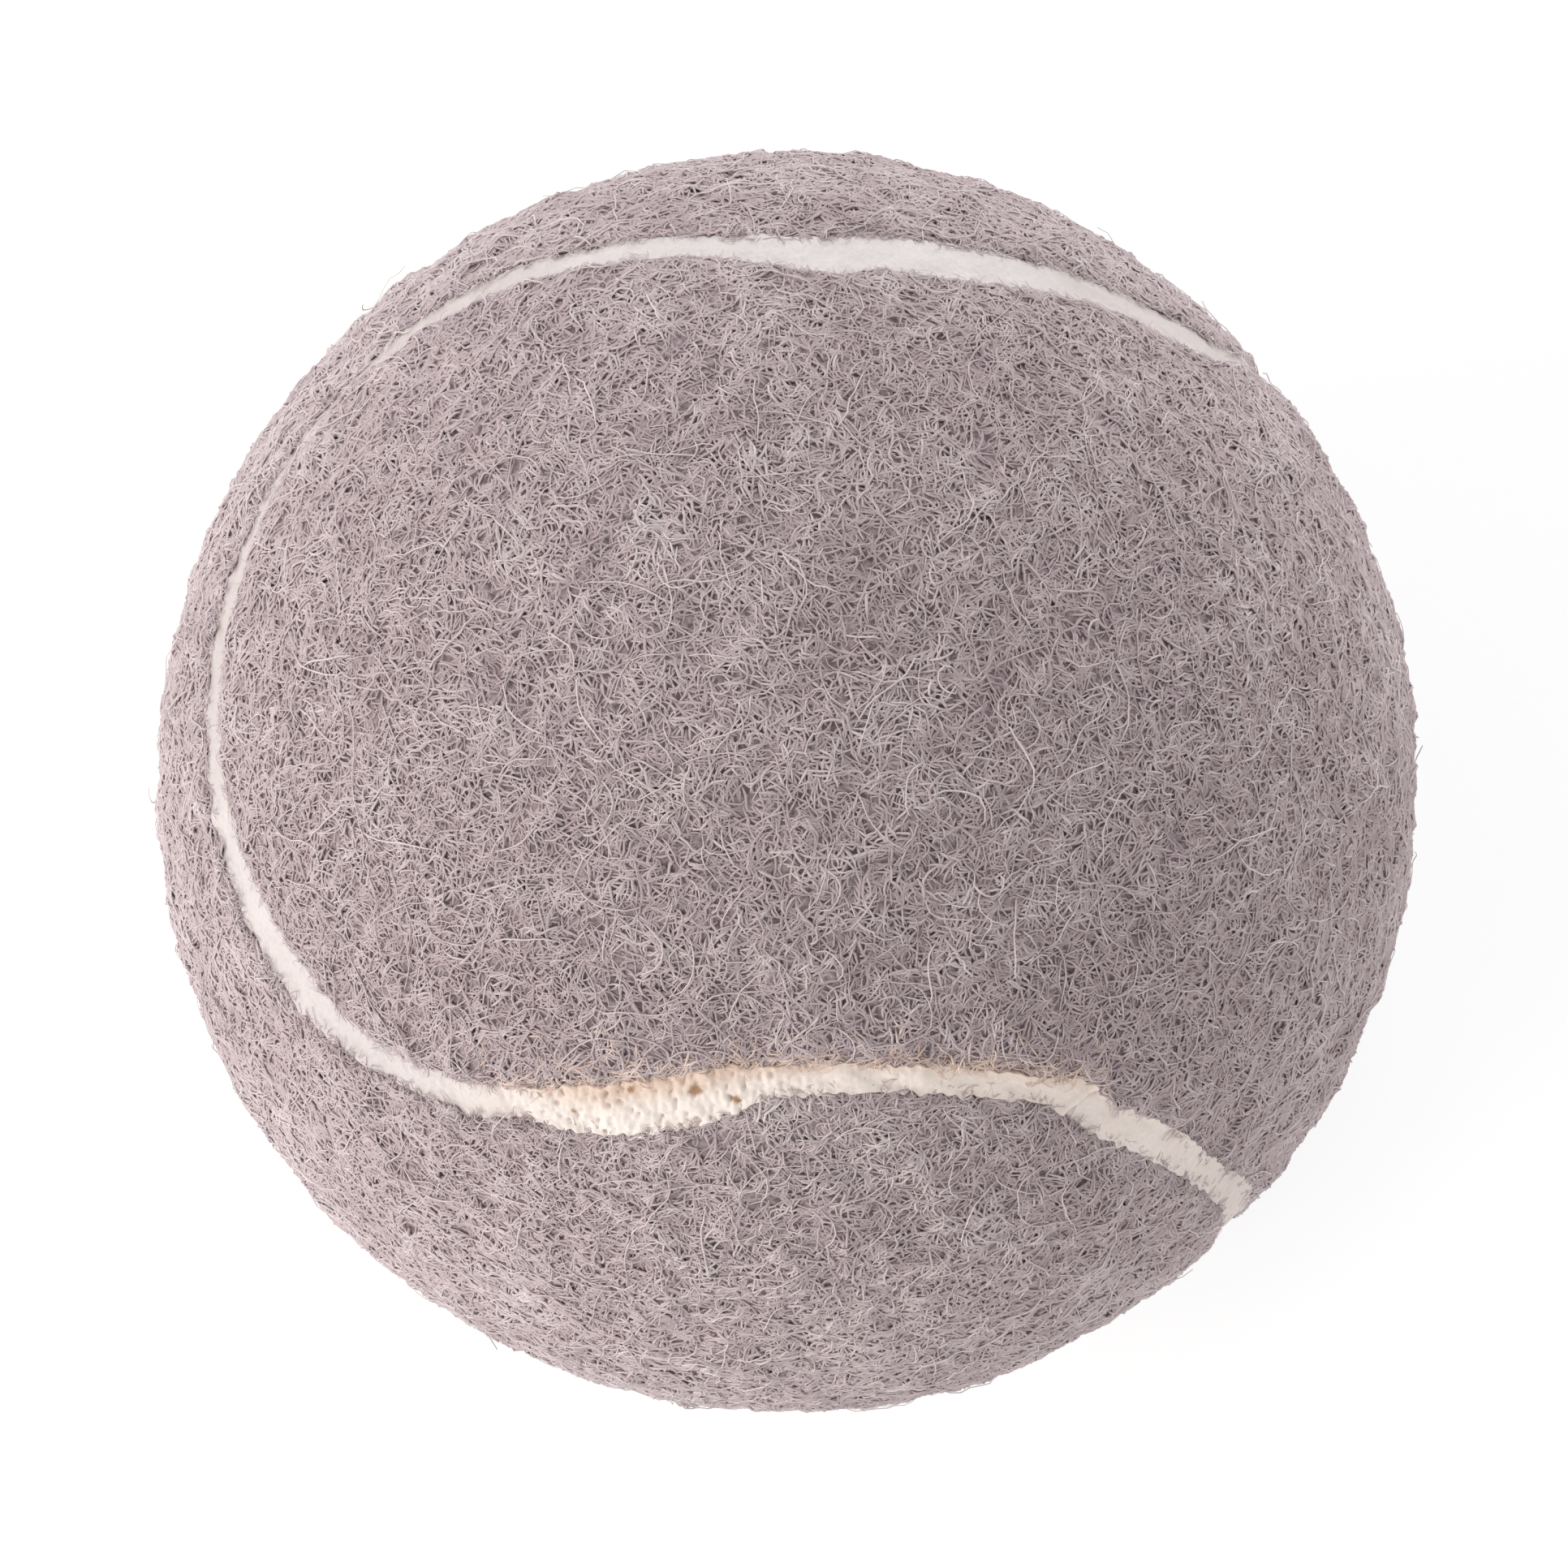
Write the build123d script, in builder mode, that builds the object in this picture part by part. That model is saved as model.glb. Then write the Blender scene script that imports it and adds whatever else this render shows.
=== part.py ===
from build123d import *
import math
import os

os.makedirs("parts", exist_ok=True)

# Driving sizes in millimetres, and one angle in degrees
ball_diameter = 67.0
felt_thickness = 3.0
panel_cement_thickness = 0.2
core_wall = 3.4
core_joint_thickness = 0.2
seam_width = 2.5
seam_recess = 0.5
felt_edge_radius = 0.4
lobe_angle = 94.0

# Radii of the layers, from the nap of the felt inwards
ball_radius = ball_diameter / 2
felt_inner_radius = ball_radius - felt_thickness
core_radius = felt_inner_radius - panel_cement_thickness
cavity_radius = core_radius - core_wall
seam_top_radius = ball_radius - seam_recess
seam_half_width = seam_width / 2

# Course of the seam.
# The front panel is centred on +X and its two round lobes lie above and below the centre of the ball.
# The back panel is centred on -X and its two lobes lie towards +Y and -Y.
# Each lobe is bounded by an arc of a circle on the sphere.
# The axis of that circle stands at lobe_angle to the line from the ball's centre to the middle of the panel.
# The four arcs meet tangentially at the four points midway between the Y and Z directions.
center = Vector(0, 0, 0)
lobe_cos = math.cos(math.radians(lobe_angle))
lobe_sin = math.sin(math.radians(lobe_angle))
lobe_turn = 2 * math.degrees(math.atan2(1, lobe_cos))
lobe_arcs = []
for side in (1, -1):
    meeting_point = Vector(0, side, side).normalized()
    front_lobe_axis = Vector(lobe_cos, 0, side * lobe_sin)
    back_lobe_axis = Vector(-lobe_cos, side * lobe_sin, 0)
    lobe_arcs.append((front_lobe_axis, meeting_point))
    lobe_arcs.append((back_lobe_axis, meeting_point))


def seam_plane(lobe_axis, meeting_point):
    """Section plane at a meeting point: X leads out along the radius, Y leads across the seam."""
    return Plane(origin=center, x_dir=meeting_point, z_dir=lobe_axis.cross(meeting_point))


def on_sphere(radius, offset):
    """Point of the section at the given radius and at the given distance to the side of the seam's middle."""
    return (math.sqrt(radius**2 - offset**2), offset)


# Gap between the panels, as a cutting body: straight walls that round over into the nap.
# It reaches from the cavity to well outside the ball, so that it cuts each layer right through.
edge_center = on_sphere(ball_radius - felt_edge_radius, seam_half_width + felt_edge_radius)
edge_foot = (edge_center[0], seam_half_width)
edge_crown_scale = ball_radius / (ball_radius - felt_edge_radius)
edge_crown = (edge_center[0] * edge_crown_scale, edge_center[1] * edge_crown_scale)
gap_floor = cavity_radius
gap_ceiling = ball_radius + felt_thickness
with BuildPart() as panel_gap:
    for lobe_axis, meeting_point in lobe_arcs:
        with BuildSketch(seam_plane(lobe_axis, meeting_point)):
            with BuildLine():
                Line((gap_floor, 0), (gap_floor, seam_half_width))
                Line((gap_floor, seam_half_width), edge_foot)
                TangentArc(edge_foot, edge_crown, tangent=(1, 0))
                Line(edge_crown, (gap_ceiling, edge_crown[1]))
                Line((gap_ceiling, edge_crown[1]), (gap_ceiling, 0))
                mirror(about=Plane.XZ)
            make_face()
        revolve(axis=Axis(center, lobe_axis), revolution_arc=lobe_turn)

# Seam rubber: fills the gap between the panels, from the core to just below the nap
with BuildPart() as seam_rubber:
    Sphere(seam_top_radius)
    Sphere(core_radius, mode=Mode.SUBTRACT)
    add(panel_gap.part, mode=Mode.INTERSECT)
seam_rubber.part.label = "seam_rubber"
export_step(seam_rubber.part, "parts/seam_rubber.step")

# Felt: a hollow sphere that the gap divides into two dog-bone panels
with BuildPart() as felt_shell:
    Sphere(ball_radius)
    Sphere(felt_inner_radius, mode=Mode.SUBTRACT)
    add(panel_gap.part, mode=Mode.SUBTRACT)
felt_pieces = felt_shell.solids().sort_by(Axis.X)

with BuildPart() as felt_panel_front:
    add(felt_pieces[-1])
felt_panel_front.part.label = "felt_panel_front"
export_step(felt_panel_front.part, "parts/felt_panel_front.step")

with BuildPart() as felt_panel_back:
    add(felt_pieces[0])
felt_panel_back.part.label = "felt_panel_back"
export_step(felt_panel_back.part, "parts/felt_panel_back.step")

# Cement films: one under each panel, with the panel's own outline
with BuildPart() as cement_shell:
    Sphere(felt_inner_radius)
    Sphere(core_radius, mode=Mode.SUBTRACT)
    add(panel_gap.part, mode=Mode.SUBTRACT)
cement_pieces = cement_shell.solids().sort_by(Axis.X)

with BuildPart() as panel_cement_front:
    add(cement_pieces[-1])
panel_cement_front.part.label = "panel_cement_front"
export_step(panel_cement_front.part, "parts/panel_cement_front.step")

with BuildPart() as panel_cement_back:
    add(cement_pieces[0])
panel_cement_back.part.label = "panel_cement_back"
export_step(panel_cement_back.part, "parts/panel_cement_back.step")

# Core: two half-shells of rubber, butted at the equator with a thin ring of cement between their rims
rim_height = core_joint_thickness / 2
core_rim_outer = math.sqrt(core_radius**2 - rim_height**2)
core_rim_inner = math.sqrt(cavity_radius**2 - rim_height**2)
core_slant = math.cos(math.radians(45))


def half_shell_profile():
    """Lines of the upper half-shell's section, right of the vertical axis."""
    ThreePointArc(
        (core_rim_outer, rim_height),
        (core_radius * core_slant, core_radius * core_slant),
        (0, core_radius),
    )
    Line((0, core_radius), (0, cavity_radius))
    ThreePointArc(
        (0, cavity_radius),
        (cavity_radius * core_slant, cavity_radius * core_slant),
        (core_rim_inner, rim_height),
    )
    Line((core_rim_inner, rim_height), (core_rim_outer, rim_height))


with BuildPart() as core_half_upper:
    with BuildSketch(Plane.XZ):
        with BuildLine():
            half_shell_profile()
        make_face()
    revolve(axis=Axis.Z)
core_half_upper.part.label = "core_half_upper"
export_step(core_half_upper.part, "parts/core_half_upper.step")

with BuildPart() as core_half_lower:
    with BuildSketch(Plane.XZ):
        with BuildLine():
            half_shell_profile()
        make_face()
        mirror(about=Plane.XZ, mode=Mode.REPLACE)
    revolve(axis=Axis.Z)
core_half_lower.part.label = "core_half_lower"
export_step(core_half_lower.part, "parts/core_half_lower.step")

with BuildPart() as core_joint_cement:
    with BuildSketch(Plane.XZ):
        with BuildLine():
            Line((core_rim_inner, rim_height), (core_rim_outer, rim_height))
            ThreePointArc((core_rim_outer, rim_height), (core_radius, 0), (core_rim_outer, -rim_height))
            Line((core_rim_outer, -rim_height), (core_rim_inner, -rim_height))
            ThreePointArc((core_rim_inner, -rim_height), (cavity_radius, 0), (core_rim_inner, rim_height))
        make_face()
    revolve(axis=Axis.Z)
core_joint_cement.part.label = "core_joint_cement"
export_step(core_joint_cement.part, "parts/core_joint_cement.step")
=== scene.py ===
import math
import bmesh
import bpy
import numpy as np
from mathutils import Matrix, Vector


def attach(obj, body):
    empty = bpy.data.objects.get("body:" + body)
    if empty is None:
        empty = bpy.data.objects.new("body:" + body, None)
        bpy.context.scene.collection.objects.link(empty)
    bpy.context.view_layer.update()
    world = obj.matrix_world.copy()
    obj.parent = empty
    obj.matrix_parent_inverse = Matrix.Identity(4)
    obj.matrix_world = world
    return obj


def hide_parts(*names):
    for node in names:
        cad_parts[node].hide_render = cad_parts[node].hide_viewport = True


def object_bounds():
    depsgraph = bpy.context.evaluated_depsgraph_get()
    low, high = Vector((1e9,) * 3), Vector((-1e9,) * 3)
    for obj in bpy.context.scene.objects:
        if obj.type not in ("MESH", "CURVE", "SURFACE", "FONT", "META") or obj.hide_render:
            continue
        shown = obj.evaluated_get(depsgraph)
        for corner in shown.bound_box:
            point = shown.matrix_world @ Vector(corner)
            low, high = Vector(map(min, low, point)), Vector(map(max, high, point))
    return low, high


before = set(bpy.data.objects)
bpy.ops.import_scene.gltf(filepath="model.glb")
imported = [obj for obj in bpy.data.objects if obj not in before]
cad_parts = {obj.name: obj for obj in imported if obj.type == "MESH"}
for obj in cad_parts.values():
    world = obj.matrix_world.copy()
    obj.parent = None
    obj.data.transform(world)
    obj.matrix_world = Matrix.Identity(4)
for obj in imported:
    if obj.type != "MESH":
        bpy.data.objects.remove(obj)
cad_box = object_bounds()

# Lengths in this script are in millimetres, and meshes are made in metres
MM = 0.001

# The two panels, and whether each is the front one
panel_sides = {"front": True, "back": False}


def reach(node):
    """Largest distance of a node's mesh from the centre of the ball."""
    return max(corner.co.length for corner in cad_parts[node].data.vertices) / MM


# Radii of the layers, from the frame
ball_radius = reach("felt_panel_front")
seam_top_radius = reach("seam_rubber")
felt_inner_radius = reach("panel_cement_front")
core_radius = reach("core_half_upper")

# Course of the seam: four arcs of circles on the ball, two around the lobes of each panel.
# Each has the axis of its circle, the direction of the arc's middle, and 1 for a lobe of the front panel
# or -1 for one of the back panel
lobe_angle = math.radians(94)
lobe_spread = math.acos(math.sin(lobe_angle) / math.sqrt(2))
lobe_half_turn = math.atan2(1, math.cos(lobe_angle))
lobe_cos = math.cos(lobe_angle)
lobe_sin = math.sin(lobe_angle)
lobes = [
    (np.array((lobe_cos, 0, lobe_sin)), np.array((-lobe_sin, 0, lobe_cos)), 1),
    (np.array((-lobe_cos, -lobe_sin, 0)), np.array((lobe_sin, -lobe_cos, 0)), -1),
    (np.array((lobe_cos, 0, -lobe_sin)), np.array((-lobe_sin, 0, -lobe_cos)), 1),
    (np.array((-lobe_cos, lobe_sin, 0)), np.array((lobe_sin, lobe_cos, 0)), -1),
]
arc_degrees = math.degrees(2 * lobe_half_turn)
seam_degrees = arc_degrees * len(lobes)

# Edges of the gap between the panels at places along the seam, as the photograph shows them:
# place in degrees, then the back and the front panel's edge in millimetres towards the front panel
gap_course = [
    (0, -1.1, 1.6),
    (9, -0.6, 1.8),
    (28, -1.0, 1.5),
    (36, -1.2, 1.2),
    (40, -1.0, 1.3),
    (43, -0.7, 0.9),
    (47, -0.8, 0.4),
    (62, -0.8, 0.4),
    (67, -0.9, 0.7),
    (76, -1.2, 1.1),
    (97, -1.2, 1.0),
    (120, -1.7, 1.0),
    (134, -2.1, 0.9),
    (144, -1.9, 0.5),
    (154, -1.4, 0.6),
    (166, -1.4, 0.9),
    (171, -0.6, 1.3),
    (180, -1.2, 1.8),
    (192, -1.5, 1.9),
    (199, -1.0, 2.2),
    (203, 0.0, 2.1),
    (214, 0.3, 2.0),
    (240, 0.2, 1.8),
    (244, -0.1, 2.0),
    (247, -0.8, 1.9),
    (250, -1.2, 0.9),
    (262, -1.8, 0.4),
    (268, -2.0, 0.2),
    (274, -2.1, -0.3),
    (284, -2.1, -0.3),
    (292, -2.1, 0.1),
    (320, -1.2, 1.3),
    (400, -1.5, 0.9),
    (470, -1.0, 1.6),
    (540, -1.4, 1.2),
    (610, -1.1, 1.3),
    (640, -0.9, 1.2),
    (655, -0.5, 1.0),
    (664, -0.1, 1.3),
    (671, 0.0, 1.9),
    (676, -0.5, 2.5),
    (681, -1.0, 2.3),
    (686, -1.7, 1.7),
    (691, -1.9, 1.1),
    (698, -2.5, 0.7),
    (714, -2.5, 1.3),
    (725, -2.6, 1.3),
    (729, -2.0, 2.2),
    (732, -1.3, 2.1),
    (738, -1.2, 1.9),
    (744, -1.0, 1.3),
    (749, -1.0, 1.4),
]
# Step and smoothing of the course in degrees
course_step = 0.25
course_smoothing = 1.2
# Fine wobble of the edges: height, count of waves, and least and most turns of a wave round the seam
edge_wobble = 0.07
wobble_waves = 40
wobble_turns = (60, 420)

# Felt: depth of its ground below the nap, its lumps and how much of them goes at the edge,
# and the width and drop of its rounded edge
ground_depth = 0.28
lump_height = 0.10
lump_loss = 0.6
roll_width = 0.7
roll_drop = 0.25
# Grid of the panels: subdivisions of the ball, then the distances from the panels' edges
# within which it is made finer
grid_subdivisions = 7
fine_margins = (1.6, 0.5)
# How far a corner may lie from the edge and be moved onto it, as a share of the least distance
# that closes the cut
snap_slack = 1.02

# Fibres of the nap, in five layers: a wide, dense mat, strands that dip in and out of it, fine pale strands,
# loose strays, and a fringe over the edges of the seam. Their keys, where a pair is the least and the most:
# count of fibres on the whole ball, and points of a fibre's line
# length and width of a fibre
# height above the felt's ground, and arch, the rise of a fibre's middle over its ends
# dip, how far a fibre waves in and out, and dive, how far its ends go down
# turn, the spread of its turning from point to point, in radians
# tone, its middle and its spread, from 0, dark, to 1, pale
# loose, the share of fibres with a loose end
# overhang, the mean reach past the panel's edge
# parts, the share of fibres that are missing over the nap's deepest pits
# fringe, whether the fibres are rooted at the panels' edges
nap_layers = [
    {"count": 85000, "points": 4, "length": (1.0, 2.2), "width": (0.19, 0.28), "height": (0.00, 0.09),
     "arch": (0.0, 0.03), "dip": 0.03, "dive": 0.05, "turn": 0.45, "tone": (0.45, 0.06), "loose": 0.0,
     "overhang": 0.04, "parts": 1.0, "fringe": False},
    {"count": 45000, "points": 6, "length": (1.2, 3.0), "width": (0.14, 0.20), "height": (0.06, 0.14),
     "arch": (0.0, 0.03), "dip": 0.06, "dive": 0.10, "turn": 0.40, "tone": (0.54, 0.08), "loose": 0.0,
     "overhang": 0.06, "parts": 0.7, "fringe": False},
    {"count": 7000, "points": 9, "length": (2.0, 4.5), "width": (0.09, 0.13), "height": (0.11, 0.18),
     "arch": (0.0, 0.03), "dip": 0.07, "dive": 0.15, "turn": 0.26, "tone": (0.72, 0.10), "loose": 0.005,
     "overhang": 0.10, "parts": 0.3, "fringe": False},
    {"count": 1200, "points": 9, "length": (3.0, 6.0), "width": (0.08, 0.12), "height": (0.18, 0.26),
     "arch": (0.0, 0.12), "dip": 0.04, "dive": 0.25, "turn": 0.22, "tone": (0.90, 0.08), "loose": 0.08,
     "overhang": 0.25, "parts": 0.0, "fringe": False},
    {"count": 17000, "points": 6, "length": (0.8, 1.8), "width": (0.035, 0.06), "height": (0.02, 0.16),
     "arch": (0.0, 0.04), "dip": 0.02, "dive": 0.10, "turn": 0.30, "tone": (0.68, 0.15), "loose": 0.0,
     "overhang": 0.27, "parts": 0.0, "fringe": True},
]
quick_share = 1.0
# Spread of the fibres' starts, as a share of the distance between them
start_jitter = 0.3
# More fibres along the panels' edges: their share, and how far inside the edge they start
edge_share = 0.02
edge_reach = 0.8
# Fringe: how far inside the edge it is rooted, and the spread of its directions in radians
fringe_root = 0.5
fringe_fan = 1.3
# Strip at the edge where fibres stay clear of the seam, and their least height above it
edge_strip = 0.05
fringe_clearance = 0.11
# Limits of a fibre: longest overhang, shortest length, and the share of its length that counts as the whole
longest_overhang = 0.9
shortest_fibre = 0.5
whole_share = 0.999
# Shape of a fibre's height: length of one wave, power of the dive at its ends, and least and most lift
# of a loose end with its power
wave_length = (1.2, 2.4)
dive_power = 6
loose_lift = (0.1, 0.6)
lift_power = 3
# Clumps and mottling of the nap: height and change of tone, and where the pits between clumps start
# and are deepest. The clumps' change of tone is painted shade and light: darker fibres in their troughs,
# paler on their tops
clump_height = 0.055
clump_shade_tone = 0.17
mottle_tone = 0.05
pit_start = 1.0
pit_end = 2.0
# Fibres stained by the warm rubber: the stretch of the seam, and the reach from the front panel's edge.
# Each stretch says where it starts, is full, starts to fade and ends, in degrees along the seam
stain_stretch = (160, 176, 245, 251)
stain_reach = 0.6
# Tubes of the fibres: sides, flatness, loss of width towards the ends with its power, and the most faces
# of one piece
fibre_sides = 3
fibre_flatness = 0.75
fibre_taper = 0.2
taper_power = 3
faces_in_piece = 195000

# Bake map of a panel: rows of its top, its underside and its wall, and the angles that the map's length
# and width stand for
top_rows = (0.0, 0.45)
under_rows = (0.47, 0.92)
wall_rows = (0.99, 0.95)
map_length_angle = math.radians(300)
map_width_angle = math.radians(100)
# Bake map of the fibres: margin, span of the tones, span of a fibre's length, and shift of the stained ones
map_margin = 0.02
map_tones = 0.94
map_length = 0.46
map_stain_shift = 0.5

# Seam rubber: stations along it, columns across it, and clearance from the felt
band_stations = 3000
band_columns = 25
band_clearance = 0.03
# Relief of the rubber: waves, grain, more grain and pits in the coarse part, turned-up edges,
# and sink of the whole
band_wave_height = 0.05
grain_height = 0.015
coarse_grain_height = 0.03
pit_limits = (1.1, 2.0)
pit_depth = 0.08
lip_height = 0.10
lip_power = 6
band_sink = 0.03
# Coarse, stained part: its middle and half its length in degrees along the seam
coarse_middle = 189
coarse_half_length = 15
# Raised stretch with its height, warm stretch, and grey stretches with their strength; the two that start at
# 8 degrees are painted shade on the side towards the key lamp
raised_stretch = (160, 184, 290, 340)
raised_height = 0.14
warm_stretch = (148, 186, 290, 340)
grey_stretches = [
    ((256, 290, 290, 340), 0.36),
    # Painted shade: these two grey the rubber on the side towards the key lamp
    ((8, 24, 96, 112), 0.25),
    ((8, 24, 150, 186), 0.18),
    ((640, 660, 690, 712), 0.30),
]
# Lap of the rubber's two ends: its place in degrees, and its slant in degrees for each half width.
# What lies along it is given in degrees past the lap: the step down, a ridge, a crease darkened with painted
# shade and a greyer tone
lap_place = 246.0
lap_slant = 1.75
lap_step = 0.14
lap_step_stretch = (0, 0.5, 4, 18)
lap_ridge_height = 0.17
lap_ridge_place = -0.35
lap_ridge_spread = 0.4
lap_crease_shade = 0.3
lap_crease_place = 0.5
lap_crease_spread = 0.25
lap_grey = 0.03
lap_grey_limits = (-0.3, 0.3)
# Brown rind towards the front panel: degrees over which it starts, its strength, what the coarse part adds
# to its strength and breadth, a faint rind over the whole width further on, and the degrees before the lap
# over which it ends
rind_start = (166, 182)
rind_strength = 0.9
coarse_rind_strength = 0.5
coarse_rind_breadth = 0.2
faint_rind_start = (198, 236)
faint_rind_strength = 0.2
rind_end = (0, 1)
# Brown spots: place in degrees, distance from the seam's line and radius in millimetres; then how strongly
# they are stained, how ragged they are, and how strongly the pits are stained
brown_spots = [(195.3, 0.95, 0.36), (200.2, 0.15, 0.25), (187.0, 1.3, 0.2), (178.5, 0.2, 0.17)]
spot_stain = 1.3
spot_raggedness = 0.35
pit_stain = 0.4


# Curves and random fields
def smooth_step(values, low, high):
    """Rises smoothly from 0 at low to 1 at high."""
    part = np.clip((values - low) / (high - low), 0, 1)
    return part**2 * (3 - 2 * part)


def stretch(places, start, full, fade, end):
    """1 along a stretch of the seam, 0 elsewhere, with smooth ends."""
    return smooth_step(places, start, full) * smooth_step(-places, -end, -fade)


def bell(values, middle, spread):
    """Bell curve with its top of 1 at the middle."""
    return np.exp(-0.5 * ((values - middle) / spread) ** 2)


def cosines(rng, count, shortest, longest):
    """Random waves for ripple(), for wavelengths in millimetres: their wave vectors and phases."""
    lengths = np.exp(rng.uniform(math.log(shortest), math.log(longest), count))
    vectors = rng.normal(size=(count, 3))
    vectors *= (2 * math.pi * ball_radius / lengths / np.linalg.norm(vectors, axis=1))[:, None]
    return vectors, rng.uniform(0, 2 * math.pi, count)


def ripple(directions, waves):
    """Smooth random field on the ball, with a spread of about 1."""
    vectors, phases = waves
    weight = math.sqrt(2 / len(phases))
    total = np.zeros(directions.shape[:-1])
    for vector, phase in zip(vectors, phases):
        total += weight * np.cos(directions @ vector + phase)
    return total


felt_rng = np.random.default_rng(seed=23)
lump_waves = cosines(felt_rng, count=28, shortest=1.8, longest=9.0)
clump_waves = cosines(felt_rng, count=60, shortest=0.7, longest=2.2)
mottle_waves = cosines(felt_rng, count=24, shortest=4.0, longest=16.0)
band_rng = np.random.default_rng(seed=31)
band_waves = cosines(band_rng, count=30, shortest=1.2, longest=6.0)
grain_waves = cosines(band_rng, count=40, shortest=0.28, longest=0.8)


# Places along the seam
def seam_place(directions):
    """Place along the seam in degrees and distance from its line in millimetres, for unit directions."""
    place = np.zeros(len(directions))
    offset = np.full(len(directions), np.inf)
    for number, (axis, away, panel) in enumerate(lobes):
        apart = np.arccos(np.clip(directions @ axis, -1, 1))
        turn = np.arctan2(directions @ np.cross(axis, away), directions @ away)
        distance = panel * (lobe_spread - apart) * ball_radius
        nearest = (np.abs(turn) <= lobe_half_turn) & (np.abs(distance) < np.abs(offset))
        place[nearest] = (number * arc_degrees + np.degrees(lobe_half_turn + panel * turn))[nearest]
        offset[nearest] = distance[nearest]
    return place, offset


def seam_direction(place, offset):
    """Unit directions of the points at a place along the seam and a distance from its line."""
    place = np.mod(place, seam_degrees)
    number = np.minimum((place // arc_degrees).astype(int), len(lobes) - 1)
    directions = np.zeros((*np.shape(place), 3))
    for lobe, (axis, away, panel) in enumerate(lobes):
        on_lobe = number == lobe
        turn = panel * (np.radians(place[on_lobe] - lobe * arc_degrees) - lobe_half_turn)
        apart = lobe_spread - panel * offset[on_lobe] / ball_radius
        across = np.cos(turn)[:, None] * away + np.sin(turn)[:, None] * np.cross(axis, away)
        directions[on_lobe] = np.cos(apart)[:, None] * axis + np.sin(apart)[:, None] * across
    return directions


course_grid = np.arange(0, seam_degrees, course_step)


def smooth_course(values, rng):
    """Periodic smooth line through one edge of the gap's course, with a fine wobble."""
    places = [row[0] for row in gap_course]
    line = np.interp(course_grid, places, values, period=seam_degrees)
    lag = np.minimum(course_grid, seam_degrees - course_grid)
    blur = bell(lag, 0, course_smoothing)
    line = np.real(np.fft.ifft(np.fft.fft(line) * np.fft.fft(blur / blur.sum())))
    wave_height = edge_wobble * math.sqrt(2 / wobble_waves)
    for turns in rng.integers(*wobble_turns, wobble_waves):
        phase = rng.uniform(0, 2 * math.pi)
        line += wave_height * np.cos(2 * math.pi * turns * course_grid / seam_degrees + phase)
    return line


course_rng = np.random.default_rng(seed=11)
back_line = smooth_course([row[1] for row in gap_course], course_rng)
front_line = smooth_course([row[2] for row in gap_course], course_rng)


def gap_edges(place):
    """The back and the front panel's edge at places along the seam, in millimetres from the seam's line."""
    back = np.interp(place, course_grid, back_line, period=seam_degrees)
    front = np.interp(place, course_grid, front_line, period=seam_degrees)
    return back, front


def panel_depths(directions):
    """How far inside the front and the back panel's edge points lie, in millimetres."""
    place, offset = seam_place(directions)
    back, front = gap_edges(place)
    return offset - front, back - offset


def ground_radius(directions, depth):
    """Radius of the felt's ground: lumpy, and rounded off towards the panel's edge."""
    near_edge = np.clip(1 - depth / roll_width, 0, 1)
    lumps = lump_height * ripple(directions, lump_waves) * (1 - lump_loss * near_edge)
    return ball_radius - ground_depth + lumps - roll_drop * near_edge**2


# Meshes
def make_object(name, points, faces, material):
    """Mesh object from points in millimetres and an array of faces of one size."""
    mesh = bpy.data.meshes.new(name)
    mesh.vertices.add(len(points))
    mesh.vertices.foreach_set("co", (points * MM).astype(np.float32).ravel())
    mesh.loops.add(faces.size)
    mesh.loops.foreach_set("vertex_index", faces.astype(np.int32).ravel())
    mesh.polygons.add(len(faces))
    mesh.polygons.foreach_set("loop_start", np.arange(0, faces.size, faces.shape[1], dtype=np.int32))
    mesh.update(calc_edges=True)
    mesh.shade_smooth()
    mesh.materials.append(material)
    piece = bpy.data.objects.new(name, mesh)
    bpy.context.scene.collection.objects.link(piece)
    return piece


def set_attribute(piece, name, values):
    """Number at each vertex, for the material to read."""
    layer = piece.data.attributes.new(name, "FLOAT", "POINT")
    layer.data.foreach_set("value", values.astype(np.float32))


def set_bake_map(piece, places):
    """Texture layout named OFBake, from a place for each corner of each face."""
    layer = piece.data.uv_layers.new(name="OFBake")
    layer.data.foreach_set("uv", places.astype(np.float32).ravel())


# Felt panels
def corner_directions(grid):
    """Unit directions of a grid's corners."""
    directions = np.array([corner.co for corner in grid.verts])
    return directions / np.linalg.norm(directions, axis=1)[:, None]


def ball_grid():
    """Triangles over the whole ball, finer near the seam: unit directions and corner numbers."""
    grid = bmesh.new()
    bmesh.ops.create_icosphere(grid, subdivisions=grid_subdivisions, radius=1)
    for margin in fine_margins:
        front, back = panel_depths(corner_directions(grid))
        near = np.minimum(np.abs(front), np.abs(back)) < margin
        chosen = [edge for edge in grid.edges if near[edge.verts[0].index] or near[edge.verts[1].index]]
        bmesh.ops.subdivide_edges(grid, edges=chosen, cuts=1, use_grid_fill=True)
        bmesh.ops.triangulate(grid, faces=[face for face in grid.faces if len(face.verts) > 3])
        grid.verts.index_update()
    directions = corner_directions(grid)
    faces = np.array([[corner.index for corner in face.verts] for face in grid.faces])
    grid.free()
    return directions, faces


def face_sides(faces):
    """The two corners of each side of each triangle, in the order in which they go round it."""
    return np.concatenate([faces[:, [0, 1]], faces[:, [1, 2]], faces[:, [2, 0]]])


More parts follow.
